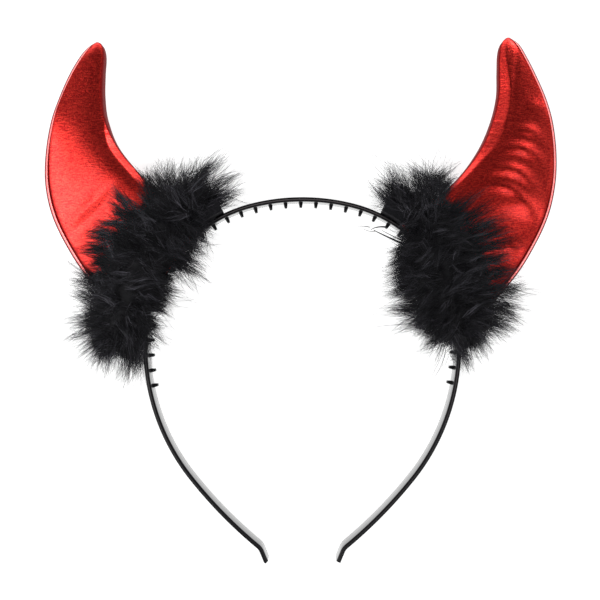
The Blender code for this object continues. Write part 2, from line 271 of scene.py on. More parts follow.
def outwardOf(x, y):
    # how far points lie outside the band's centre line, negative inside the arch
    stride = round(bandLine["coarseStep"] / bandLine["step"])
    away = np.abs(x - bandLine["centreX"])
    shape = away.shape
    away, rise = away.ravel(), np.asarray(y, float).ravel()
    lx, ly, heading = lineX[::stride], lineY[::stride], lineHeading[::stride]
    outward = np.empty(len(away))
    for start in range(0, len(away), bandLine["batch"]):
        part = slice(start, start + bandLine["batch"])
        dx = away[part, None] - lx
        dy = rise[part, None] - ly
        nearest = np.argmin(dx * dx + dy * dy, axis=1)
        rows = np.arange(len(nearest))
        turned = heading[nearest]
        outward[part] = dx[rows, nearest] * np.sin(turned) + dy[rows, nearest] * np.cos(turned)
    return outward.reshape(shape)


# the headband: glossy black plastic with comb teeth

headband = {
    "width": 8.0,
    "thickness": 1.8,
    "cornerRadius": 0.4,
    "cornerPoints": 4,
    "crown": 0.05,  # how far the front edge bulges
    "matteAndHighlightPlaces": (0.26, 0.1, -0.1, -0.26),  # across the front edge, where a matte strip carries a painted highlight line
    "matteAndHighlightShares": (0.0, 1.0, 1.0, 0.0),
    "matteAndHighlightEnd": (90.0, 135.0),  # where the matte strip and its painted highlight fade, along the band from its top
    "matteAndHighlightLoss": 0.92,
    "step": 1.0,
    "sharpAngle": 32.0,
    "black": (0.004, 0.004, 0.0045, 1.0),
    # grey of the matte strip on the front edge, which also stands in for its highlight: painted highlight
    "matteAndHighlight": (0.052, 0.046, 0.048, 1.0),
    "roughness": 0.16,
    "gloss": {"Specular IOR Level": 0.12, "Coat Roughness": 0.2, "Coat IOR": 2.4},
    "cloudScale": 90.0,  # scale of the wear, and of the scratches in it
    "fineScale": 900.0,
    "grain": 0.02,
}


def plasticFinish():
    finish = Finish("black_gloss_plastic", headband["gloss"])
    place = finish.place()
    cloud = finish.noise(place, headband["cloudScale"], 3.0)
    fine = finish.noise(place, headband["fineScale"], 2.0)
    matteAndHighlight = finish.value("matteAndHighlight")
    polish = finish.value("polish")
    scuffs = cloud.smooth(0.6, 0.85) * fine.smooth(0.45, 0.7)
    # real scuffs, with the painted highlight line down the front edge
    wornAndHighlight = matteAndHighlight * (0.75 + 0.5 * cloud) + 0.2 * scuffs
    finish.feed(
        Base_Color=finish.mixColour(wornAndHighlight, headband["black"], headband["matteAndHighlight"]),
        Roughness=headband["roughness"] + 0.35 * matteAndHighlight + 0.1 * fine * cloud,
        Coat_Weight=polish * (1.0 - 0.4 * scuffs),
        Normal=finish.bump(cloud + 0.12 * fine, headband["grain"], 0.5),
    )
    return finish


def roundedBox(low, high, radius, count):
    # corner points of a box with round corners, anticlockwise
    points = []
    corners = ((high[0], high[1], 0), (low[0], high[1], 90), (low[0], low[1], 180), (high[0], low[1], 270))
    for x, y, start in corners:
        inX = x - math.copysign(radius, x - (low[0] + high[0]) / 2)
        inY = y - math.copysign(radius, y - (low[1] + high[1]) / 2)
        for number in range(count + 1):
            angle = math.radians(start + 90 * number / count)
            points.append((inX + radius * math.cos(angle), inY + radius * math.sin(angle)))
    return np.array(points)


def bandSection():
    # the strip's section, how matte each of its points is and how much painted highlight it carries, and
    # where its polished inner face is
    half, width = headband["thickness"] / 2, headband["width"]
    count, crown = headband["cornerPoints"], headband["crown"]
    box = roundedBox((-half, 0.0), (half, width), headband["cornerRadius"], count)
    places = np.array(headband["matteAndHighlightPlaces"])
    added = len(places)
    front = np.stack([places, np.full(added, width + crown)], axis=1)
    back = np.stack([places[::-1], np.zeros(added)], axis=1)
    first, third = count + 1, 3 * (count + 1)
    section = np.concatenate([box[:first], front, box[first:third], back, box[third:]])
    matteAndHighlight = np.zeros(len(section))
    for start in (first, third + added):
        matteAndHighlight[start:start + added] = headband["matteAndHighlightShares"]
    polish = (section[:, 0] < -half + 0.02).astype(float)
    return section, matteAndHighlight, polish


teeth = {
    "pitch": 6.25,
    "eachSide": 18,
    "shift": -0.6,
    "root": 1.7,
    "end": 1.1,
    "length": 2.0,
    "depth": 2.6,
    "middleZ": 3.3,
    "sink": 0.4,
    "corner": 0.18,
    "flare": 1.04,  # how much wider the root is inside the band
    # shares of the end's width, of the length and of the depth, towards the rounded end
    "rounding": ((1.04, 0.88, 0.95), (0.98, 0.98, 0.9), (0.86, 1.0, 0.84)),
}
# rings: shares of the radius and of half the height
pip = {
    "radius": 0.5,
    "height": 6.0,
    "gap": 0.25,
    "sides": 12,
    "rings": ((0.7, -1.0), (1.0, -0.94), (1.0, 0.94), (0.7, 1.0)),
}


def toothRings(distance):
    # a peg from inside the band's inner face to its rounded end
    face = -headband["thickness"] / 2
    root, end, length = teeth["root"], teeth["end"], teeth["length"]
    # width, distance from the band's middle line, share of the depth
    stations = [(root * teeth["flare"], face + teeth["sink"], 1.0), (root, face, 1.0)]
    for wide, far, deep in teeth["rounding"]:
        stations.append((end * wide, face - length * far, deep))
    rings = []
    for width, outward, share in stations:
        depth = teeth["depth"] * share
        section = roundedBox((-width / 2, -depth / 2), (width / 2, depth / 2), teeth["corner"], 2)
        rings.append(archPlace(distance + section[:, 0], outward, teeth["middleZ"] + section[:, 1]))
    return np.array(rings)


def pipRings():
    # the pip on the end of the left tip
    turns = circle(pip["sides"])
    inward = headband["thickness"] / 2 - pip["radius"]
    middle = archPlace(-bandEnd - pip["gap"], inward, 0.0)
    rings = []
    for share, height in pip["rings"]:
        radius = pip["radius"] * share
        x, y = middle[0] + radius * np.cos(turns), middle[1] + radius * np.sin(turns)
        z = headband["width"] / 2 + height * pip["height"] / 2
        rings.append(np.stack([x, y, np.full(len(turns), z)], axis=-1))
    return np.array(rings)


def skin(rings, start):
    # points, quads and triangles of a closed skin over rings, with a fan at each end
    count, size = rings.shape[:2]
    points = np.concatenate([rings.reshape(-1, 3), [rings[0].mean(0), rings[-1].mean(0)]])
    sides = np.arange(size)
    after = (sides + 1) % size
    rows = np.arange(count - 1)[:, None] * size + start
    quads = np.stack([rows + sides, rows + after, rows + size + after, rows + size + sides], axis=-1)
    fans = []
    for ring, middle, way in ((0, 0, 1), (count - 1, 1, -1)):
        first = start + ring * size
        middles = np.full(size, start + count * size + middle)
        fans.append(np.stack([first + sides, first + after, middles], axis=-1)[:, ::way])
    return points, quads.reshape(-1, 4), np.concatenate(fans)


def addSkins(name, allRings, finish):
    # one mesh of several closed skins
    skins, start = [], 0
    for rings in allRings:
        skins.append(skin(rings, start))
        start += len(skins[-1][0])
    points, quads, triangles = (np.concatenate(part) for part in zip(*skins))
    item = addMesh(name, points, quads, triangles, finish)
    outwardFaces(item)
    return item


def outwardFaces(item):
    # turns every face of a closed skin outward
    shape = bmesh.new()
    shape.from_mesh(item.data)
    bmesh.ops.recalc_face_normals(shape, faces=shape.faces)
    shape.to_mesh(item.data)
    shape.free()


def addHeadband():
    section, matteAndHighlight, polish = bandSection()
    distances = np.linspace(-bandEnd, bandEnd, round(2 * bandEnd / headband["step"]))
    rings = [archPlace(distance, section[:, 0], section[:, 1]) for distance in distances]
    skins = [np.array(rings)]
    for number in range(-teeth["eachSide"], teeth["eachSide"] + 1):
        skins.append(toothRings(number * teeth["pitch"] + teeth["shift"]))
    skins.append(pipRings())
    item = addSkins("headband_moulding", skins, plasticFinish())
    item.data.set_sharp_from_angle(angle=math.radians(headband["sharpAngle"]))
    # the matte strip and its painted highlight fade towards the tips
    matteAndHighlightAlong = 1 - np.interp(np.abs(distances), headband["matteAndHighlightEnd"], (0.0, headband["matteAndHighlightLoss"]))
    for name, values, along in (("matteAndHighlight", matteAndHighlight, matteAndHighlightAlong), ("polish", polish, np.ones(len(rings)))):
        allValues = np.zeros(len(item.data.vertices))
        allValues[:len(rings) * len(values)] = np.outer(along, values).ravel()
        addValues(item, name, allValues)
    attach(item, "root")
    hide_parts("headband")


addHeadband()
print("headband made")


# the horns: padded red metallic cloth with a sewn rim

horns = {
    "middleZ": 8.6,
    "doming": 2.0,  # over 1 is round, and the higher the flatter on top
    "creaseRadius": 0.1,  # softness of the crease between the dome and the strip
    "rimWidth": 2.5,
    # place across the rim from the groove outward, half-thickness, how much painted shade, how glossy
    "rimLine": (
        (0.03, 0.65, 0.6, 0.0),
        (0.26, 0.60, 0.65, 0.0),
        (0.33, 1.10, 0.3, 0.4),
        (0.39, 1.35, 0.0, 1.0),
        (0.56, 1.16, 0.0, 1.0),
        (0.73, 0.80, 0.0, 1.0),
        (0.78, 0.70, 0.95, 0.0),
        (0.99, 0.30, 1.0, 0.0),
        (1.00, 0.0, 1.0, 0.0),
    ),
    "rimMost": 0.34,  # the rim's largest share of the horn's width
    "rimFullAt": 5.0,  # the rim thins where the horn is thinner than this
    "edgeShade": (0.9, 0.3),  # strength and reach of the painted shade line at the concave edge
    # painted shade in the groove between the cushion and the rim
    "grooveShade": (0.6, 0.75),
    "alongCount": 230,
    "tipCrowding": 1.15,  # over 1 puts more rows near the tip
    "acrossCount": 64,
    "rimCount": 20,
    "footSteps": 600,
    "footGuess": 0.96,  # the cushion's share of the width, for finding the foot
    "footOutward": 2.7,  # where the cloth ends, outside the band's centre line
    "tongueDepth": 4.6,  # half the room in the cuff
    "tongueReach": 7.5,
    "tongueBlend": 4.0,
    "softEdge": 2.2,  # how soon folds and waves reach their full height
    "frontWaves": ((22.0, 34.0), 0.2),  # wavelengths and height
    "backWaves": ((12.0, 19.0), 0.18),
    "weft": ((1.0, 4.2, 1.0), 600.0, 2.0, 0.6),  # stretch, scale, detail, roughness
    "warp": ((2.4, 1.0, 1.0), 1300.0, 1.0, 0.5),
    "cloudScale": 60.0,
    "grain": 0.13,
    "red": (0.80, 0.042, 0.029, 1.0),
    "deepRed": (0.46, 0.014, 0.014, 1.0),
    # the colour of the painted shade in the groove and along the edges
    "paintedShadeRed": (0.08, 0.002, 0.003, 1.0),
    "roughness": 0.22,
    "film": 0.06,  # gloss of the cushion, where the rim has 1
    "gloss": {"Specular IOR Level": 0.0, "Coat Roughness": 0.2, "Coat IOR": 2.2},
}
# rows innerX, innerY: concave edge; outerX, outerY: convex edge; thick: front to back, tip first
# crest: where across the horn the cushion is highest
# inner, outer: the cushion's height at its edges, as shares of the thickness
# facet, slope: the height at which the strip along the concave edge starts, and how steeply it rises
# folds x, y: middle; slant: degrees from +X; long, wide: half sizes; high: how far it stands out;
# bow: how far its ends sag
leftHorn = {
    "rows": (
        (-80.6, 103.2, -82, 103.1, 2.4, 0.5, 0.8, 0.8, 1, 1),
        (-78.9, 101.8, -84.7, 101.5, 5.2, 0.5, 0.86, 0.88, 1, 1),
        (-78.2, 98, -88, 97.8, 7.4, 0.5, 0.88, 0.9, 1, 1),
        (-78.7, 91, -92.2, 90.8, 8.6, 0.5, 0.88, 0.93, 1, 1),
        (-78.9, 82.2, -96.4, 81.4, 10, 0.5, 0.86, 0.92, 1, 1),
        (-77.7, 72.8, -99.7, 71.8, 11.4, 0.48, 0.84, 0.84, 0.86, 0.9),
        (-73.3, 62.2, -101.8, 59.4, 12.6, 0.4, 0.8, 0.54, 0.5, 0.95),
        (-65.7, 52.5, -102, 47, 13.2, 0.3, 0.8, 0.36, 0.48, 0.95),
        (-57.3, 44.2, -99.5, 35, 13.4, 0.24, 0.78, 0.33, 0.48, 0.95),
        (-47.8, 38.6, -94, 23, 13.2, 0.24, 0.7, 0.33, 0.5, 0.95),
        (-38.3, 34.6, -85.4, 9.6, 12.4, 0.3, 0.35, 0.33, 1, 1),
        (-29.8, 29.6, -72.8, -4.4, 11.2, 0.4, 0.3, 0.3, 1, 1),
        (-22.3, 22.6, -57.8, -15.9, 10.4, 0.4, 0.3, 0.3, 1, 1),
    ),
    "folds": (
        (-83, 38, 46, 9.5, 2.5, -0.95, 0), (-80.5, 29.5, 44, 8, 1.8, -0.5, 0),
        (-85.5, 31.5, 45, 8, 1.9, 0.3, 0), (-84, 21.5, 30, 5, 1.4, -0.6, 0), (-79, 18, 20, 4, 1.3, 0.4, 0),
        (-80, 14.5, 36, 4, 1.4, -0.5, 0),
    ),
    "seed": 11,
}
rightHorn = {
    "rows": (
        (81.9, 105, 83.7, 105.1, 2.4, 0.4, 0.8, 0.8, 0.7, 0.5),
        (79.9, 102.8, 87.1, 102.6, 5.4, 0.36, 0.92, 0.86, 0.7, 0.5),
        (78.9, 98.8, 89.9, 98.2, 7.4, 0.33, 0.94, 0.9, 0.68, 0.54),
        (78.7, 91.2, 93.7, 90.8, 8.8, 0.3, 0.95, 0.9, 0.62, 0.54),
        (78.5, 82, 97.9, 81.2, 10.2, 0.28, 0.94, 0.8, 0.56, 0.54),
        (76.3, 72.2, 100.7, 71.4, 11.6, 0.27, 0.92, 0.74, 0.58, 0.52),
        (72.1, 62, 102.1, 59.2, 12.6, 0.27, 0.88, 0.66, 0.68, 0.4),
        (65.5, 52.2, 101.7, 47.2, 13.2, 0.27, 0.8, 0.58, 0.62, 0.8),
        (57.3, 44, 99.1, 35, 13.4, 0.28, 0.74, 0.52, 0.56, 1.1),
        (48.2, 38.4, 93.9, 23.2, 13.2, 0.3, 0.64, 0.46, 0.5, 1.1),
        (39.2, 34.6, 85.9, 10.2, 12.4, 0.32, 0.5, 0.35, 0.4, 1),
        (30.7, 29.6, 73.3, -4, 11.2, 0.4, 0.4, 0.3, 0.4, 1),
        (23.2, 22.6, 58.8, -15.9, 10.4, 0.4, 0.3, 0.3, 0.4, 1),
    ),
    "folds": (
        (89.6, 67, -12, 4.6, 2.5, 0.75, 1), (87.2, 60, -14, 6.4, 2.9, 1.05, 1.5),
        (83.8, 51.4, -18, 7.4, 2.8, 1, 1.6), (81.6, 44.4, -22, 6.6, 2.2, 0.65, 1.4),
        (89, 37.4, -26, 6.5, 4, 1.2, 1.2), (83.4, 21, -20, 4.6, 3, 0.9, 1), (93, 76.5, -12, 4.5, 3, 0.4, 0),
        (84.3, 86, 84, 14, 1.2, -0.22, 0),
    ),
    "seed": 23,
}


def lameFinish():
    finish = Finish("red_lame", horns["gloss"])
    place = finish.place()
    # threads: fine grain drawn out across the horn, and a finer cross grain
    grains = []
    for stretch, *looks in (horns["weft"], horns["warp"]):
        grains.append(finish.noise(finish.scaled(place, stretch), *looks))
    weft, warp = grains
    cloud = finish.noise(place, horns["cloudScale"], 2.0)
    # painted shade in the groove and along the edges, which also dulls the metal and its gloss there
    paintedSeamShade = finish.value("paintedSeamShade")
    tight = finish.value("tight")
    threads = 0.65 * weft + 0.35 * warp
    cloth = finish.mixColour(threads.smooth(0.4, 0.6), horns["deepRed"], horns["red"])
    finish.feed(
        Base_Color=finish.mixColour(paintedSeamShade, cloth, horns["paintedShadeRed"]),
        Metallic=1.0 - 0.9 * paintedSeamShade,
        Roughness=horns["roughness"] + 0.10 * warp + 0.06 * cloud - 0.05 * tight,
        Coat_Weight=(horns["film"] + (1.0 - horns["film"]) * tight) * (1.0 - paintedSeamShade),
        Normal=finish.bump(threads, horns["grain"]),
    )
    return finish


def smoothRows(rows, places):
    # Catmull-Rom through the rows, at places from 0 to 1
    rows = np.array(rows)
    last = len(rows) - 1
    spot = np.clip(places, 0, 1) * last
    index = np.minimum(spot.astype(int), last - 1)
    share = (spot - index)[:, None]
    before, start, end, after = (rows[np.clip(index + shift, 0, last)] for shift in (-1, 0, 1, 2))
    slopeIn, slopeOut = (end - before) / 2, (after - start) / 2
    square, cube = share ** 2, share ** 3
    return (
        (2 * cube - 3 * square + 1) * start
        + (cube - 2 * square + share) * slopeIn
        + (3 * square - 2 * cube) * end
        + (cube - square) * slopeOut
    )


def footPlaces(rows, shares):
    # for each place across, how far along the horn its cloth runs before it meets the band
    along = np.linspace(0, 1, horns["footSteps"])
    table = smoothRows(rows, along)
    inner, outer = table[:, None, 0:2], table[:, None, 2:4]
    spots = inner + (outer - inner) * shares[None, :, None]
    inside = outwardOf(spots[..., 0], spots[..., 1]) < horns["footOutward"]
    late = along[:, None] > 0.5  # the foot lies in the horn's lower half
    firstInside = np.argmax(inside & late, axis=0)
    reached = (inside & late).any(axis=0)
    return np.where(reached, along[firstInside], 1.0)


def foldHeight(x, y, folds):
    height = np.zeros(x.shape)
    for middleX, middleY, slant, long, wide, high, bow in folds:
        angle = math.radians(slant)
        along = (x - middleX) * math.cos(angle) + (y - middleY) * math.sin(angle)
        across = (y - middleY) * math.cos(angle) - (x - middleX) * math.sin(angle) + bow * (along / long) ** 2
        height += high * np.exp(-(along / long) ** 2 - (across / wide) ** 2)
    return height


def rimProfile(part):
    # half-thickness, painted shade and gloss over the groove and the rim; part runs from 0 to 1 outward
    places, *columns = zip(*horns["rimLine"])
    return [float(np.interp(part, places, column)) for column in columns]


def cushionHeight(inset, width, table):
    # half-thickness of the cushion at a distance from the concave edge
    half, crest, inner, outer, facet, slope = (table[:, 4] / 2, *table[:, 5:10].T)
    share = inset / width
    nearInner = share < crest
    fall = np.where(nearInner, 1 - share / crest, 1 - (1 - share) / (1 - crest))
    low = np.where(nearInner, inner, outer)
    dome = half * (low + (1 - low) * (1 - fall ** horns["doming"]))
    strip = half * facet + slope * inset
    soft = horns["creaseRadius"]
    return -soft * np.log(np.exp(-dome / soft) + np.exp(-strip / soft))


def shadeNear(distance, strength, reach):
    # painted shade that fades away from a seam
    return strength * np.exp(-(distance / reach) ** 2)


def hornSurface(horn):
    # grids of x, y, half-thickness and looks; the first axis runs from the tip to the foot
    rows = horn["rows"]
    even = np.linspace(0, 1, horns["alongCount"]) ** horns["tipCrowding"]
    # places across the horn: 0 to 1 over the cushion, 1 to 2 over the rim
    angle = np.linspace(0, math.pi, horns["acrossCount"])
    rim = np.linspace(0, 1, horns["rimCount"] + 1)[1:]
    shares = np.concatenate([(1 - np.cos(angle)) / 2, 1 + rim])
    foot = footPlaces(rows, np.where(shares <= 1, shares * horns["footGuess"], 1.0))
    x = np.empty((len(even), len(shares)))
    y, half, cushion, paintedSeamShade, tight = (np.zeros_like(x) for _ in range(5))
    for column, share in enumerate(shares):
        table = smoothRows(rows, even * foot[column])
        width = np.linalg.norm(table[:, 2:4] - table[:, 0:2], axis=1)
        rimShare = np.minimum(horns["rimWidth"] / width, horns["rimMost"])
        bodyShare = 1 - rimShare
        if share <= 1:
            across = bodyShare * share
            inset, room = width * across, width * bodyShare
            half[:, column] = cushionHeight(inset, room, table)
            cushion[:, column] = math.sin(angle[column])
            # painted shade along the concave edge and beside the groove
            edge = shadeNear(inset, *horns["edgeShade"])
            paintedSeamShade[:, column] = edge + shadeNear(room - inset, *horns["grooveShade"])
        else:
            across = bodyShare + rimShare * (share - 1)
            # height, painted shade and gloss of the rim
            high, paintedSeamShade[:, column], tight[:, column] = rimProfile(share - 1)
            half[:, column] = high * np.minimum(table[:, 4] / horns["rimFullAt"], 1.0)
        x[:, column] = table[:, 0] + (table[:, 2] - table[:, 0]) * across
        y[:, column] = table[:, 1] + (table[:, 3] - table[:, 1]) * across
    return x, y, half, cushion, paintedSeamShade, tight


gathers = {
    "height": 0.3,
    "lengths": (1.7, 2.4, 3.9),
    "phase": 6.3,
    "drift": 9.0,
    "swell": 14.0,
    "start": 12.0,
    "reach": 0.34,  # share of the cushion's width
}


def gatherHeight(x, y, cushion, seed):
    # short gathers that run in from the concave edge
    pick = np.random.default_rng(seed)
    edge = np.hypot(np.diff(x[:, 0], prepend=x[0, 0]), np.diff(y[:, 0], prepend=y[0, 0])).cumsum()
    wave = np.zeros(len(edge))
    for length in gathers["lengths"]:
        phase = pick.uniform(0, gathers["phase"])
        wave += np.sin(edge * 2 * math.pi / length + phase + np.sin(edge / gathers["drift"]))
    swell = 0.6 + 0.4 * np.sin(edge / gathers["swell"] + pick.uniform(0, gathers["phase"]))
    strong = swell * np.clip(edge / gathers["start"] - 2.0, 0.1, 1.0)
    across = np.arange(x.shape[1]) / horns["acrossCount"]
    fade = np.clip(1 - across / gathers["reach"], 0, 1) * np.clip(cushion * 4, 0, 1)
    return gathers["height"] / 2 * (wave * strong)[:, None] * fade


def around(front, back):
    # rings that run over the front and come back along the back, which share their two ends
    return np.concatenate([front, back[:, -2:0:-1]], axis=1)


def makeHorn(name, horn, finish):
    # the horn's cloth, and grids of x, y, front and back for the fur to lie on
    x, y, half, cushion, paintedSeamShade, tight = hornSurface(horn)
    middle = horns["middleZ"]
    soft = np.clip(cushion * horns["softEdge"], 0, 1)
    gathered = gatherHeight(x, y, cushion, horn["seed"])
    (frontLengths, frontHigh), (backLengths, backHigh) = horns["frontWaves"], horns["backWaves"]
    waves = ripple(x, y, frontLengths, horn["seed"] + 1) * frontHigh
    front = half + soft * (foldHeight(x, y, horn["folds"]) + waves) + gathered
    back = half + soft * (-waves + ripple(x, y, backLengths, horn["seed"] + 2) * backHigh) + gathered
    # the foot narrows to a tongue that stands in the cuff
    blend = horns["tongueBlend"]
    pinch = np.clip((horns["tongueReach"] + blend - outwardOf(x, y)) / blend, 0, 1)
    for side in (front, back):
        side[:] = np.minimum(side, side * (1 - pinch) + horns["tongueDepth"] * pinch)
        np.maximum(side, 0.0, out=side)
    high, low = middle + front, middle - back
    heights = around(high, low)
    heights[:, [0, x.shape[1] - 1]] = middle
    item = addSkins(name, [np.stack([around(x, x), around(y, y), heights], axis=-1)], finish)
    # painted shade and rim gloss, kept on the points for the shader
    for label, values in (("paintedSeamShade", paintedSeamShade), ("tight", tight)):
        # the two points in the middle of the ends come last
        addValues(item, label, np.concatenate([around(values, values).ravel(), [0.0, 0.0]]))
    return item, (x, y, high, low)


def addHorns():
    finish = lameFinish()
    surfaces = {}
    for side, horn in (("left", leftHorn), ("right", rightHorn)):
        item, surfaces[side] = makeHorn(f"{side}_horn_cloth", horn, finish)
        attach(item, "root")
        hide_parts(f"{side}_horn")
    return surfaces


hornSurfaces = addHorns()
print("horns made")


# the felt cuffs, whose ends show beside the band

cuffs = {
    "black": (0.004, 0.004, 0.005, 1.0),
    "dusty": (0.014, 0.013, 0.016, 1.0),
    "stretch": (1.0, 1.0, 1.6),
    "fibreScale": 1500.0,
    "nap": 0.12,
}


def addCuffs():
    finish = Finish("black_felt", {"Specular IOR Level": 0.1})
    place = finish.place()
    fibres = finish.noise(finish.scaled(place, cuffs["stretch"]), cuffs["fibreScale"], 4.0, 0.7)
    finish.feed(
        Base_Color=finish.mixColour(fibres.smooth(0.45, 0.75), cuffs["black"], cuffs["dusty"]),
        Roughness=0.85 + 0.15 * fibres,
        Normal=finish.bump(fibres, cuffs["nap"]),
    )
    for side in ("left", "right"):
        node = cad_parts[f"{side}_base_cuff"]
        node.data.materials.clear()
        node.data.materials.append(finish.material)


addCuffs()
print("cuffs dressed")


# the marabou trims: dark down, locks that lie outward from the spine, and longer plumes at the outline

trims = {
    "middleShare": 0.47,  # height of the roll's middle, as a share of its size
    "bandFront": 8.4,  # fur over the band and inside the arch lies in front of this
    "bandGap": 0.3,
    "archReach": 30.0,  # how far inside the arch that holds
    "lowest": 0.15,
    "hornGap": 0.2,
    "mapCell": 1.5,  # for the map of the horn that the fur lies on
    "mapReach": 110.0,
    "black": (0.0026, 0.0025, 0.0034, 1.0),
    # colour of the painted highlights on a few wisps, and of the faint tone of the rest
    "highlightGrey": (0.10, 0.097, 0.115, 1.0),
    "mottleScale": 160.0,
}
# rows x, y: middle line; radius, high: size of the roll
# plumes rootX, rootY, tipX, tipY: where a plume starts and ends; full: how dense it is
# clear x, y: low and high corner of a box that small locks leave free
leftTrim = {
    "rows": (
        (-37.4, 43.6, 2, 10), (-40.4, 40.4, 5.5, 14), (-45.2, 37.2, 9.5, 17),
        (-52, 31.3, 13, 18.5), (-59.3, 21.8, 14, 19), (-66, 9.1, 14, 19),
        (-71, -4.7, 13.5, 17.5), (-73.4, -15.2, 8.5, 14), (-74, -19.7, 2, 10),
    ),
    "plumes": (
        (-40.4, 43.8, -31.7, 57.3, 0.7), (-41.5, 45.7, -34.4, 55.5, 0.6), (-36.8, 43.3, -24.8, 51.6, 0.7),
        (-34.4, 40.2, -24.4, 45, 0.8), (-35.6, 38.4, -27.2, 42, 0.7), (-43.4, 45, -41.1, 55.9, 0.6),
        (-47.3, 45.3, -46.4, 54, 0.8), (-51.3, 44.5, -51.8, 55.9, 0.6), (-52.8, 47.6, -56, 57, 0.15),
        (-54, 43, -58.5, 52.5, 0.8), (-56, 43.7, -62.6, 51.6, 1), (-66, 38.6, -74, 43.5, 0.4),
        (-67.5, 33.5, -75.5, 36.5, 0.6), (-70.5, 29.5, -79.5, 31.5, 0.6), (-75.6, 24.1, -84.2, 25.8, 0.8),
        (-76.7, 20.2, -86.5, 21, 0.7), (-75.6, 15.5, -83.6, 16.3, 0.8), (-78, 9, -87.5, 12.5, 0.9),
        (-79.5, 2.4, -89.9, 7.3, 1), (-80.7, 0.6, -90.2, 1.8, 1), (-80.7, -5.3, -92, -7.8, 1.1),
        (-80.7, -9.2, -92.6, -15.6, 0.4), (-75.6, -10.4, -87.2, -21, 1.1),
        (-74, -13.1, -81.8, -24.9, 1), (-70.9, -15.1, -77, -27.6, 1),
        (-68.1, -17, -71, -31.2, 1), (-66.2, -17, -65.6, -29.4, 1.2),
        (-65.8, -11.2, -63.8, -22.1, 0.9), (-61.8, -9.2, -55.4, -18, 0.35), (-61.1, 0.6, -53.6, -5.3, 0.8),
        (-59.1, 4.5, -51.1, -1.2, 0.7), (-51.3, 13.1, -41.5, 3.6, 0.12), (-48.1, 15.5, -36.8, 8.4, 0.25),
        (-50.5, 17, -42.5, 11, 0.8), (-49.3, 20.2, -40.4, 13.9, 0.9), (-46.5, 24, -38.5, 18.5, 0.6),
        (-41.5, 22.2, -28.3, 22.2, 0.03), (-43.4, 27.3, -36.8, 23.3, 0.6),
    ),
    "clear": ((-34.0, 20.0), (-20.0, 38.0)),
    "seed": 3,
}
rightTrim = {
    "rows": (
        (38.6, 41.6, 2, 10), (41.2, 38.6, 4.5, 13), (46, 34.8, 8.5, 16), (51.2, 28.6, 13.5, 18),
        (54, 18.4, 17, 19), (57.4, 7.4, 18, 19), (61.8, -3.6, 15, 17.5), (64.6, -11.6, 9, 14),
        (66.2, -16, 2, 10),
    ),
    "plumes": (
        (36.3, 39.6, 29.3, 47.5, 0.15), (38.1, 37.8, 30.3, 45, 0.9), (38.5, 40.5, 32.5, 49, 0.8),
        (41.1, 40.2, 35.7, 51.6, 0.7), (43.5, 41.4, 38.7, 52.8, 0.6), (49.6, 43.7, 43.8, 53.7, 0.9),
        (49.9, 43.7, 46.5, 53.4, 0.8), (51.3, 45, 50.7, 55.8, 0.2), (52.5, 43.8, 54.6, 50.4, 1),
        (53.1, 44.4, 59.7, 52.2, 0.9), (53.8, 42.9, 59.7, 48.4, 0.7), (58, 34.5, 69.5, 43.5, 0.4),
        (63, 30.5, 75.5, 38, 0.45), (66, 27.5, 79, 33, 0.45), (69, 25, 82.5, 28.5, 0.45),
        (70.5, 20.5, 83.5, 23.5, 0.5), (72.5, 15, 84.5, 17.5, 0.5), (74.5, 9.5, 86.5, 13, 0.5),
        (78.9, 5.3, 90.3, 8.4, 0.25), (78.3, 3.6, 87.9, 4.1, 0.9), (75.3, -1.8, 86.1, -3.6, 1),
        (75.3, -5.4, 88.5, -7.8, 0.4), (72.9, -6.7, 84.9, -10.8, 0.9), (71, -7, 80.5, -13.5, 0.8),
        (69.3, -7.8, 76.5, -15, 0.9), (66.9, -9.6, 74.7, -19.8, 0.8), (65.7, -12.6, 69.3, -20.5, 0.6),
        (63.6, -17, 66.6, -27.8, 1), (57.3, -12.6, 53, -29.2, 0.06), (54.9, -9.6, 48.3, -18.6, 0.7),
        (57.3, -10.4, 52.2, -17.8, 0.7), (51.3, -6.1, 44.1, -10.2, 0.9), (46.5, -5.4, 35.7, -11.4, 0.2),
        (48.3, -1.8, 36, -3.6, 1.2), (48.9, 0, 38.7, -0.6, 0.8), (47.7, 5.4, 34.5, 3.3, 0.8),
        (48.3, 7.8, 36, 6.6, 0.9), (47.1, 11.4, 35.1, 9.6, 1.2), (46.7, 13.1, 36.2, 12.4, 0.8),
        (47.7, 13.8, 37.5, 15, 0.6), (47.1, 16.2, 38.1, 18, 0.6), (48.3, 18, 39.3, 21, 0.5),
    ),
    "clear": ((20.0, 22.5), (41.0, 39.5)),
    "seed": 5,
}


def furFinish():
    finish = Finish("black_marabou", {"Specular IOR Level": 0.12})
    toneAndHighlight = finish.value("toneAndHighlight")
    mottle = finish.noise(finish.place(), trims["mottleScale"], 2.0)
    finish.feed(
        # grey stands for painted highlights on the few lit wisps, and for faint random tone elsewhere
        Base_Color=finish.mixColour(toneAndHighlight * (0.5 + mottle), trims["black"], trims["highlightGrey"]),
        Roughness=0.62 - 0.18 * toneAndHighlight,
    )
    return finish


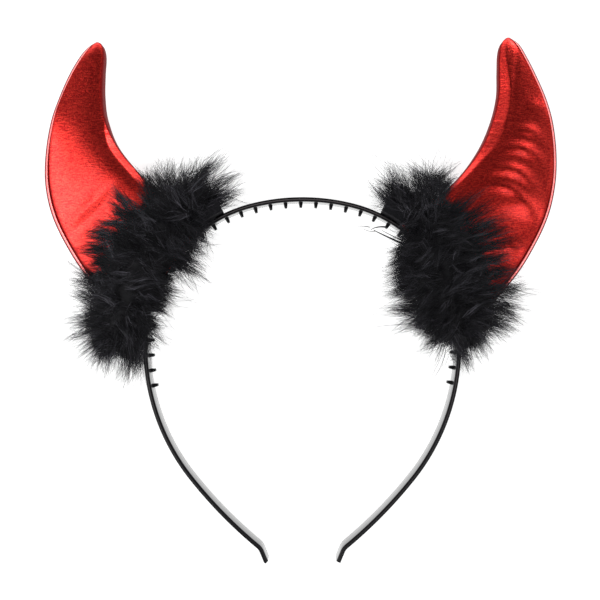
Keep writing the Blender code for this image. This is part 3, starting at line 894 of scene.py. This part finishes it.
class HeightMap:
    # the horn's front and back over the table, for the fur to lie on

    def __init__(self, surface):
        self.cell, self.reach = trims["mapCell"], trims["mapReach"]
        self.count = int(2 * self.reach / self.cell)
        # where there is no horn, both lie far out of the way
        front = np.full((self.count, self.count), -1.0)
        back = np.full((self.count, self.count), 99.0)
        x, y, high, low = surface
        row, column = self.cells(x, y)
        np.maximum.at(front, (row, column), high)
        np.minimum.at(back, (row, column), low)
        steps = [(up, over) for up in (-1, 0, 1) for over in (-1, 0, 1)]
        self.front = np.max([np.roll(front, step, (0, 1)) for step in steps], axis=0)
        self.back = np.min([np.roll(back, step, (0, 1)) for step in steps], axis=0)

    def cells(self, x, y):
        # row and column of each point
        numbers = (((place + self.reach) / self.cell).astype(int) for place in (y, x))
        return tuple(np.clip(number, 0, self.count - 1) for number in numbers)

    def lift(self, points, inFront):
        # moves points that lie in the horn out to its front or its back
        row, column = self.cells(points[..., 0], points[..., 1])
        gap = trims["hornGap"]
        front, back = self.front[row, column] + gap, self.back[row, column] - gap
        z = points[..., 2]
        points[..., 2] = np.where(inFront, np.maximum(z, front), np.minimum(z, np.maximum(back, gap)))


def clearBand(points):
    # inside the arch and over the band, fur lies in front of the band only
    outward = outwardOf(points[..., 0], points[..., 1])
    over = (outward < headband["thickness"] / 2 + trims["bandGap"]) & (outward > -trims["archReach"])
    z = points[..., 2]
    z = np.where(over, np.maximum(z, trims["bandFront"]), z)
    points[..., 2] = np.maximum(z, trims["lowest"])


def rollAt(trim, places, angles, wide, high):
    # points, normals and outward ways on the roll; the spine runs along its front, at a quarter turn
    table = smoothRows(trim["rows"], places)
    ahead = smoothRows(trim["rows"], np.minimum(places + 0.01, 1.0))
    behind = smoothRows(trim["rows"], np.maximum(places - 0.01, 0.0))
    flat = np.zeros((len(places), 1))
    heading = unit(np.concatenate([(ahead - behind)[:, :2], flat], axis=1))
    across = np.concatenate([-heading[:, 1:2], heading[:, 0:1], flat], axis=1)
    up = np.array([0.0, 0.0, 1.0])
    radius, low = table[:, 2:3] * wide, table[:, 3:4] * trims["middleShare"]
    rise = (table[:, 3:4] - low) * high
    cosine, sine = np.cos(angles)[:, None], np.sin(angles)[:, None]
    points = np.concatenate([table[:, :2], low], axis=1) + across * cosine * radius + up * sine * rise
    normals = unit(across * cosine * rise + up * sine * radius)
    side = np.where(cosine < 0, -1.0, 1.0)
    outward = unit(across * side * np.abs(sine) * radius - up * np.sign(sine) * np.abs(cosine) * rise)
    return points, normals, outward, heading


downs = {
    "wide": 0.71,  # shares of the roll's size
    "high": 0.86,
    "rings": 90,
    "sides": 72,
    "lumpWaves": (4.0, 7.0, 13.0),
    "lumpHeight": 0.9,
    "ragged": 0.25,
    "toneAndHighlight": 0.01,
}


def makeDown(name, trim, finish, heights):
    # the dark mass behind the locks
    ringCount, sides = downs["rings"], downs["sides"]
    places = np.repeat(np.linspace(0, 1, ringCount), sides)
    angles = np.tile(circle(sides), ringCount)
    points, normals, _, _ = rollAt(trim, places, angles, downs["wide"], downs["high"])
    pick = np.random.default_rng(trim["seed"])
    lumps = ripple(points[:, 0] + points[:, 2], points[:, 1], downs["lumpWaves"], trim["seed"])
    shake = pick.uniform(-downs["ragged"], downs["ragged"], len(points))
    points += normals * (lumps * downs["lumpHeight"] + shake)[:, None]
    heights.lift(points, np.sin(angles) > -0.01)  # the front half, with the sides
    clearBand(points)
    item = addSkins(name, [points.reshape(ringCount, sides, 3)], finish)
    addValues(item, "toneAndHighlight", downs["toneAndHighlight"])
    return item


barbs = {
    "segments": 4,
    "width": 0.16,
    "widths": (0.65, 1.25),  # thinnest and widest, as shares of that width
    "taper": 0.6,
    "start": (1.1, 0.55),  # power and last start, as a share of the lock's length
    "end": (0.45, 1.16),  # shortest share, and how far the longest barbs reach
    "inWisp": 7,
    "wispRoot": 0.6,  # how far wisps lie apart at the root and at the end
    "wispEnd": 0.75,
    "root": 0.3,  # the same for the barbs of a wisp
    "tip": 0.09,
    "rootSpread": 2.3,  # size of a lock at its root and at its tip
    "rootThinning": 0.4,
    "tipSpread": 2.1,
    "bow": 0.13,  # sideways bend of a lock, as a share of its length
    "stray": 0.2,  # share of barbs that leave their lock
    "strayWide": 2.2,
    "strayThin": 0.35,
    "curl": 0.2,
    "highlightPower": 9,  # the higher, the fewer wisps get a painted highlight
    # the strongest painted highlight
    "highlightMost": 0.8,
    "uneven": 0.04,
}


def curve(start, middle, end, steps):
    # leaves start towards middle and reaches end from it
    return start * (1 - steps) ** 2 + middle * 2 * steps * (1 - steps) + end * steps ** 2


def lockPaths(roots, tips, counts, spread, pick):
    # curved barbs of locks that narrow from their roots to their tips
    lock = np.repeat(np.arange(len(roots)), counts)
    total = len(lock)
    reach = tips - roots
    bow = pick.normal(0, barbs["bow"], len(roots)) * np.linalg.norm(reach, axis=1)
    bend = np.cross(unit(reach), [0.0, 0.0, 1.0]) * bow[:, None]
    stray = np.where(pick.uniform(size=total) < barbs["stray"], barbs["strayWide"], 1.0)
    (power, lastStart), (shortest, farthest) = barbs["start"], barbs["end"]
    begin = pick.uniform(0, 1, total) ** power * lastStart
    finish = begin + (farthest - begin) * pick.uniform(shortest, 1.0, total)

    def along(share):
        side = bend[lock] * np.sin(math.pi * np.clip(share, 0, 1))[:, None]
        return roots[lock] + reach[lock] * share[:, None] + side

    # barbs cling together in wisps of a few
    wisp = np.arange(total) // barbs["inWisp"]
    wispCount = wisp[-1] + 1
    stray = stray[wisp * barbs["inWisp"]]
    wispStart = pick.normal(0, barbs["wispRoot"], (wispCount, 3))[wisp]
    wispEnd = pick.normal(0, barbs["wispEnd"], (wispCount, 3))[wisp]
    thick = (spread[lock] * barbs["rootSpread"] * (1 - barbs["rootThinning"] * begin))[:, None]
    start = along(begin) + (wispStart + pick.normal(0, barbs["root"], (total, 3))) * thick
    narrow = (spread[lock] * barbs["tipSpread"] * stray)[:, None]
    end = along(finish) + (wispEnd + pick.normal(0, barbs["tip"], (total, 3))) * narrow
    way = end - start
    curl = np.cross(way, unit(pick.normal(size=(total, 3)))) * barbs["curl"] * stray[:, None] ** 0.5
    middle = (start + end) / 2 + curl
    steps = np.linspace(0, 1, barbs["segments"] + 1)[None, :, None]
    path = curve(start[:, None], middle[:, None], end[:, None], steps)
    size = np.maximum(np.linalg.norm(way, axis=1, keepdims=True), 0.01)
    side = unit(np.cross(way / size, pick.normal(size=(total, 3))))
    widths = barbs["width"] * pick.uniform(*barbs["widths"], total) / stray ** barbs["strayThin"]
    taper = (1 - steps[0, :-1, 0]) ** barbs["taper"]
    offset = side[:, None, :] * (widths[:, None] * taper)[..., None] / 2
    return path, offset, lock


def ribbonMesh(path, offset):
    # a flat ribbon with a pointed tip along each path
    count, rows = path.shape[0], offset.shape[1]
    left, right = path[:, :rows] - offset, path[:, :rows] + offset
    tip = path[:, rows:rows + 1]
    points = np.concatenate([left, right, tip], axis=1)
    size = points.shape[1]
    base = (np.arange(count) * size)[:, None]
    lower = np.arange(rows - 1)
    quads = np.stack([base + lower, base + rows + lower, base + rows + lower + 1, base + lower + 1], axis=-1)
    triangles = np.concatenate([base + rows - 1, base + 2 * rows - 1, base + 2 * rows], axis=1)
    return points.reshape(-1, 3), quads.reshape(-1, 4), triangles


locks = {
    "count": 520,
    "barbs": 62,
    "length": 8.5,
    "shares": (0.6, 1.15),  # shortest and longest, as shares of that length
    "root": 2.0,  # how deep in the down a lock starts
    "full": 12.0,  # locks are shorter where the roll's radius is less than this
    "evening": 2.0,  # added to the radius, so that thin ends get their locks too
    "frontShare": 0.72,
    "frontEdge": 0.1,  # angle at the sides that front locks keep free
    "lift": 0.42,  # how much a lock stands up from the down
    "scatter": 0.42,
    "scatterUp": 0.4,
    "endLean": 1.1,
    "clearShare": 0.75,  # share of a lock that keeps out of the clear box
}


def smallLocks(trim, pick):
    # roots and tips of locks all over the roll, front and back
    count = locks["count"]
    along = np.linspace(0, 1, 200)
    weights = smoothRows(trim["rows"], along)[:, 2] + locks["evening"]
    places = np.interp(pick.uniform(0, 1, count), np.cumsum(weights) / weights.sum(), along)
    front = np.arange(count) < count * locks["frontShare"]
    edge = locks["frontEdge"]
    frontAngles = pick.uniform(edge, math.pi - edge, count)
    angles = np.where(front, frontAngles, pick.uniform(math.pi, 2 * math.pi, count))
    roots, normals, outward, heading = rollAt(trim, places, angles, downs["wide"], downs["high"])
    toEnd = heading * ((places - 0.5) * 2)[:, None] ** 3 * locks["endLean"]
    scatter = pick.normal(0, locks["scatter"], (count, 3)) * [1.0, 1.0, locks["scatterUp"]]
    way = unit(outward + locks["lift"] * normals + toEnd + scatter)
    radius = smoothRows(trim["rows"], places)[:, 2]
    full = 0.5 + 0.5 * np.minimum(radius / locks["full"], 1.0)
    length = locks["length"] * pick.uniform(*locks["shares"], count) * full
    # none reaches into the clear box inside the arch
    low, high = trim["clear"]
    reach = roots + way * length[:, None] * locks["clearShare"]
    within = ((reach[:, :2] > low) & (reach[:, :2] < high)).all(axis=1)
    keep = ~(within & (outwardOf(reach[:, 0], reach[:, 1]) < 1.0))
    return (roots - way * locks["root"])[keep], (roots + way * length[:, None])[keep], front[keep]


plumes = {
    "barbs": 280,
    "fewest": 5,
    "root": 0.45,  # how far a plume starts behind its root, as a share of its length
    "rootZ": (9.5, 13.5),
    "tipZ": (6.0, 11.0),
    "spread": (0.9, 0.5),  # of the thinnest plume, and what a full one adds
    "toneAndHighlight": 0.03,
}


def longPlumes(trim, pick):
    # roots, tips and fullness of the plumes at the outline
    table = np.array(trim["plumes"])
    rootZ, tipZ = (pick.uniform(*plumes[name], (len(table), 1)) for name in ("rootZ", "tipZ"))
    roots = np.concatenate([table[:, 0:2], rootZ], axis=1)
    tips = np.concatenate([table[:, 2:4], tipZ], axis=1)
    return roots - (tips - roots) * plumes["root"], tips, table[:, 4]


def addPlumes(name, path, offset, toneAndHighlight, finish):
    points, quads, triangles = ribbonMesh(path, offset)
    item = addMesh(name, points, quads, triangles, finish)
    addValues(item, "toneAndHighlight", np.repeat(toneAndHighlight, 2 * barbs["segments"] + 1))
    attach(item, "root")
    print(name, "has", len(quads) * 2 + len(triangles), "triangles")


def wispToneAndHighlight(lock, lockCount, base, pick):
    # most wisps are black, and a few get a painted highlight; each lock has a little tone of its own
    wisp = np.arange(len(lock)) // barbs["inWisp"]
    paintedHighlight = pick.uniform(0, 1, wisp[-1] + 1)[wisp] ** barbs["highlightPower"]
    uneven = pick.uniform(0, barbs["uneven"], lockCount)[lock]
    return np.clip(base + barbs["highlightMost"] * paintedHighlight + uneven, 0, 1)


def layBarbs(heights, roots, tips, counts, spread, front, base, pick):
    # barbs that lie over the horn and the band, with the tone and painted highlight of each
    path, offset, lock = lockPaths(roots, tips, counts, spread, pick)
    heights.lift(path, front[lock][:, None])
    clearBand(path)
    return path, offset, wispToneAndHighlight(lock, len(roots), base, pick)


def addTrim(side, trim, finish):
    # down first, then locks in two pieces, then plumes
    heights = HeightMap(hornSurfaces[side])
    down = makeDown(f"{side}_trim_down", trim, finish, heights)
    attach(down, "root")
    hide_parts(f"{side}_fur_trim")
    pick = np.random.default_rng(trim["seed"] + 100)

    roots, tips, front = smallLocks(trim, pick)
    even = np.ones(len(roots))
    path, offset, toneAndHighlight = layBarbs(heights, roots, tips, locks["barbs"], even, front, 0.0, pick)
    for number, chosen in enumerate(np.array_split(np.arange(len(path)), 2)):
        addPlumes(f"{side}_locks_{number + 1}", path[chosen], offset[chosen], toneAndHighlight[chosen], finish)

    roots, tips, full = longPlumes(trim, pick)
    counts = np.maximum(np.round(plumes["barbs"] * full), plumes["fewest"]).astype(int)
    least, more = plumes["spread"]
    spread, front = least + more * np.minimum(full, 1.0), np.ones(len(roots), bool)
    path, offset, toneAndHighlight = layBarbs(heights, roots, tips, counts, spread, front, plumes["toneAndHighlight"], pick)
    addPlumes(f"{side}_plumes", path, offset, toneAndHighlight, finish)


# rows x, y: start, middle and end; thick: at the start
quills = {
    "rows": (
        (44, 21.7, 36.5, 24.6, 29.1, 28.4, 1.1), (41.9, 23.6, 36.5, 26, 32.2, 28.4, 0.5),
        (34.6, 29.6, 30.3, 30.2, 27.9, 28.6, 0.7), (27.5, 29.6, 25, 30.2, 22, 30, 0.3),
        (29.5, 28, 27, 27.6, 24.4, 29.2, 0.25),
    ),
    "height": 9.4,
    "thinning": 0.75,
    "sides": 8,
    "rings": 12,
    "toneAndHighlight": 0.05,
}


def addQuills(finish):
    # bare feather shafts that stick out inside the arch
    skins = []
    turns = circle(quills["sides"])
    for *places, thick in quills["rows"]:
        share = np.linspace(0, 1, quills["rings"])[:, None]
        start, middle, end = np.array(places).reshape(3, 1, 2)
        line = curve(start, middle, end, share)
        way = unit(np.gradient(line, axis=0))
        across = np.stack([-way[:, 1], way[:, 0], np.zeros(len(line))], axis=1)
        radius = thick / 2 * (1 - quills["thinning"] * share[:, :, None])
        centre = np.concatenate([line, np.full((len(line), 1), quills["height"])], axis=1)
        level = across[:, None] * np.cos(turns)[None, :, None]
        upright = np.array([0.0, 0.0, 1.0]) * np.sin(turns)[None, :, None]
        skins.append(centre[:, None] + (level + upright) * radius)
    item = addSkins("right_quills", skins, finish)
    addValues(item, "toneAndHighlight", quills["toneAndHighlight"])
    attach(item, "root")


def addTrims():
    finish = furFinish()
    addQuills(finish)
    addTrim("left", leftTrim, finish)
    addTrim("right", rightTrim, finish)


addTrims()
print("trims made")


# the studio: a pale floor, soft lights and pale surroundings

studio = {
    "floorSize": 3000.0,
    "floorGrey": (0.2, 0.2, 0.2, 1.0),
    "floorRough": 0.9,
    "floorGlow": 0.92,
    "white": (1.0, 1.0, 1.0, 1.0),
    "overhead": 0.07,
    "horizon": 4.2,
    "fall": 2.15,
    # name: place, aim, width, height (mm), brightness of its face
    "lights": {
        "left_softbox": ((-410.0, -150.0, 560.0), (-60.0, 30.0, 0.0), 520.0, 560.0, 3.4),
        "left_wall": ((-640.0, -60.0, 400.0), (80.0, 60.0, 0.0), 420.0, 300.0, 3.0),
        "upper_right_strip": ((330.0, 430.0, 160.0), (-50.0, 50.0, 0.0), 170.0, 160.0, 6.2),
        "lower_softbox": ((165.0, -185.0, 480.0), (87.0, 48.0, 0.0), 300.0, 240.0, 2.3),
    },
}


def addFloor():
    half = studio["floorSize"] / 2
    corners = ((-half, -half, 0), (half, -half, 0), (half, half, 0), (-half, half, 0))
    finish = Finish("floor_white", {
        "Base Color": studio["floorGrey"],
        "Roughness": studio["floorRough"],
        "Emission Color": studio["white"],
        "Emission Strength": studio["floorGlow"],
    })
    floor = addMesh("floor", corners, [(0, 1, 2, 3)], finish=finish)


def addLights():
    for name, (place, aim, width, height, brightness) in studio["lights"].items():
        data = bpy.data.lights.new(name, "AREA")
        data.shape = "RECTANGLE"
        data.size = width * mm
        data.size_y = height * mm
        data.energy = brightness * math.pi * width * height * mm * mm
        item = addItem(name, data)
        item.location = Vector(place) * mm
        item.rotation_euler = (Vector(place) - Vector(aim)).to_track_quat("Z", "Y").to_euler()


def addWorld():
    # dim overhead and brighter towards the horizon, like pale walls round a dark ceiling
    world = bpy.data.worlds.new("studio_walls")
    walls = Graph(world, "Background")
    way = walls.node("ShaderNodeTexCoord", output="Generated")
    rise = walls.node("ShaderNodeSeparateXYZ", None, {0: way}, "Z")
    walls.feed(
        Color=studio["white"],
        Strength=studio["overhead"] + studio["horizon"] * (1.0 - rise) ** studio["fall"],
    )
    bpy.context.scene.world = world


addFloor()
addLights()
addWorld()
bpy.context.scene.view_settings.view_transform = "Standard"
print("studio lit")
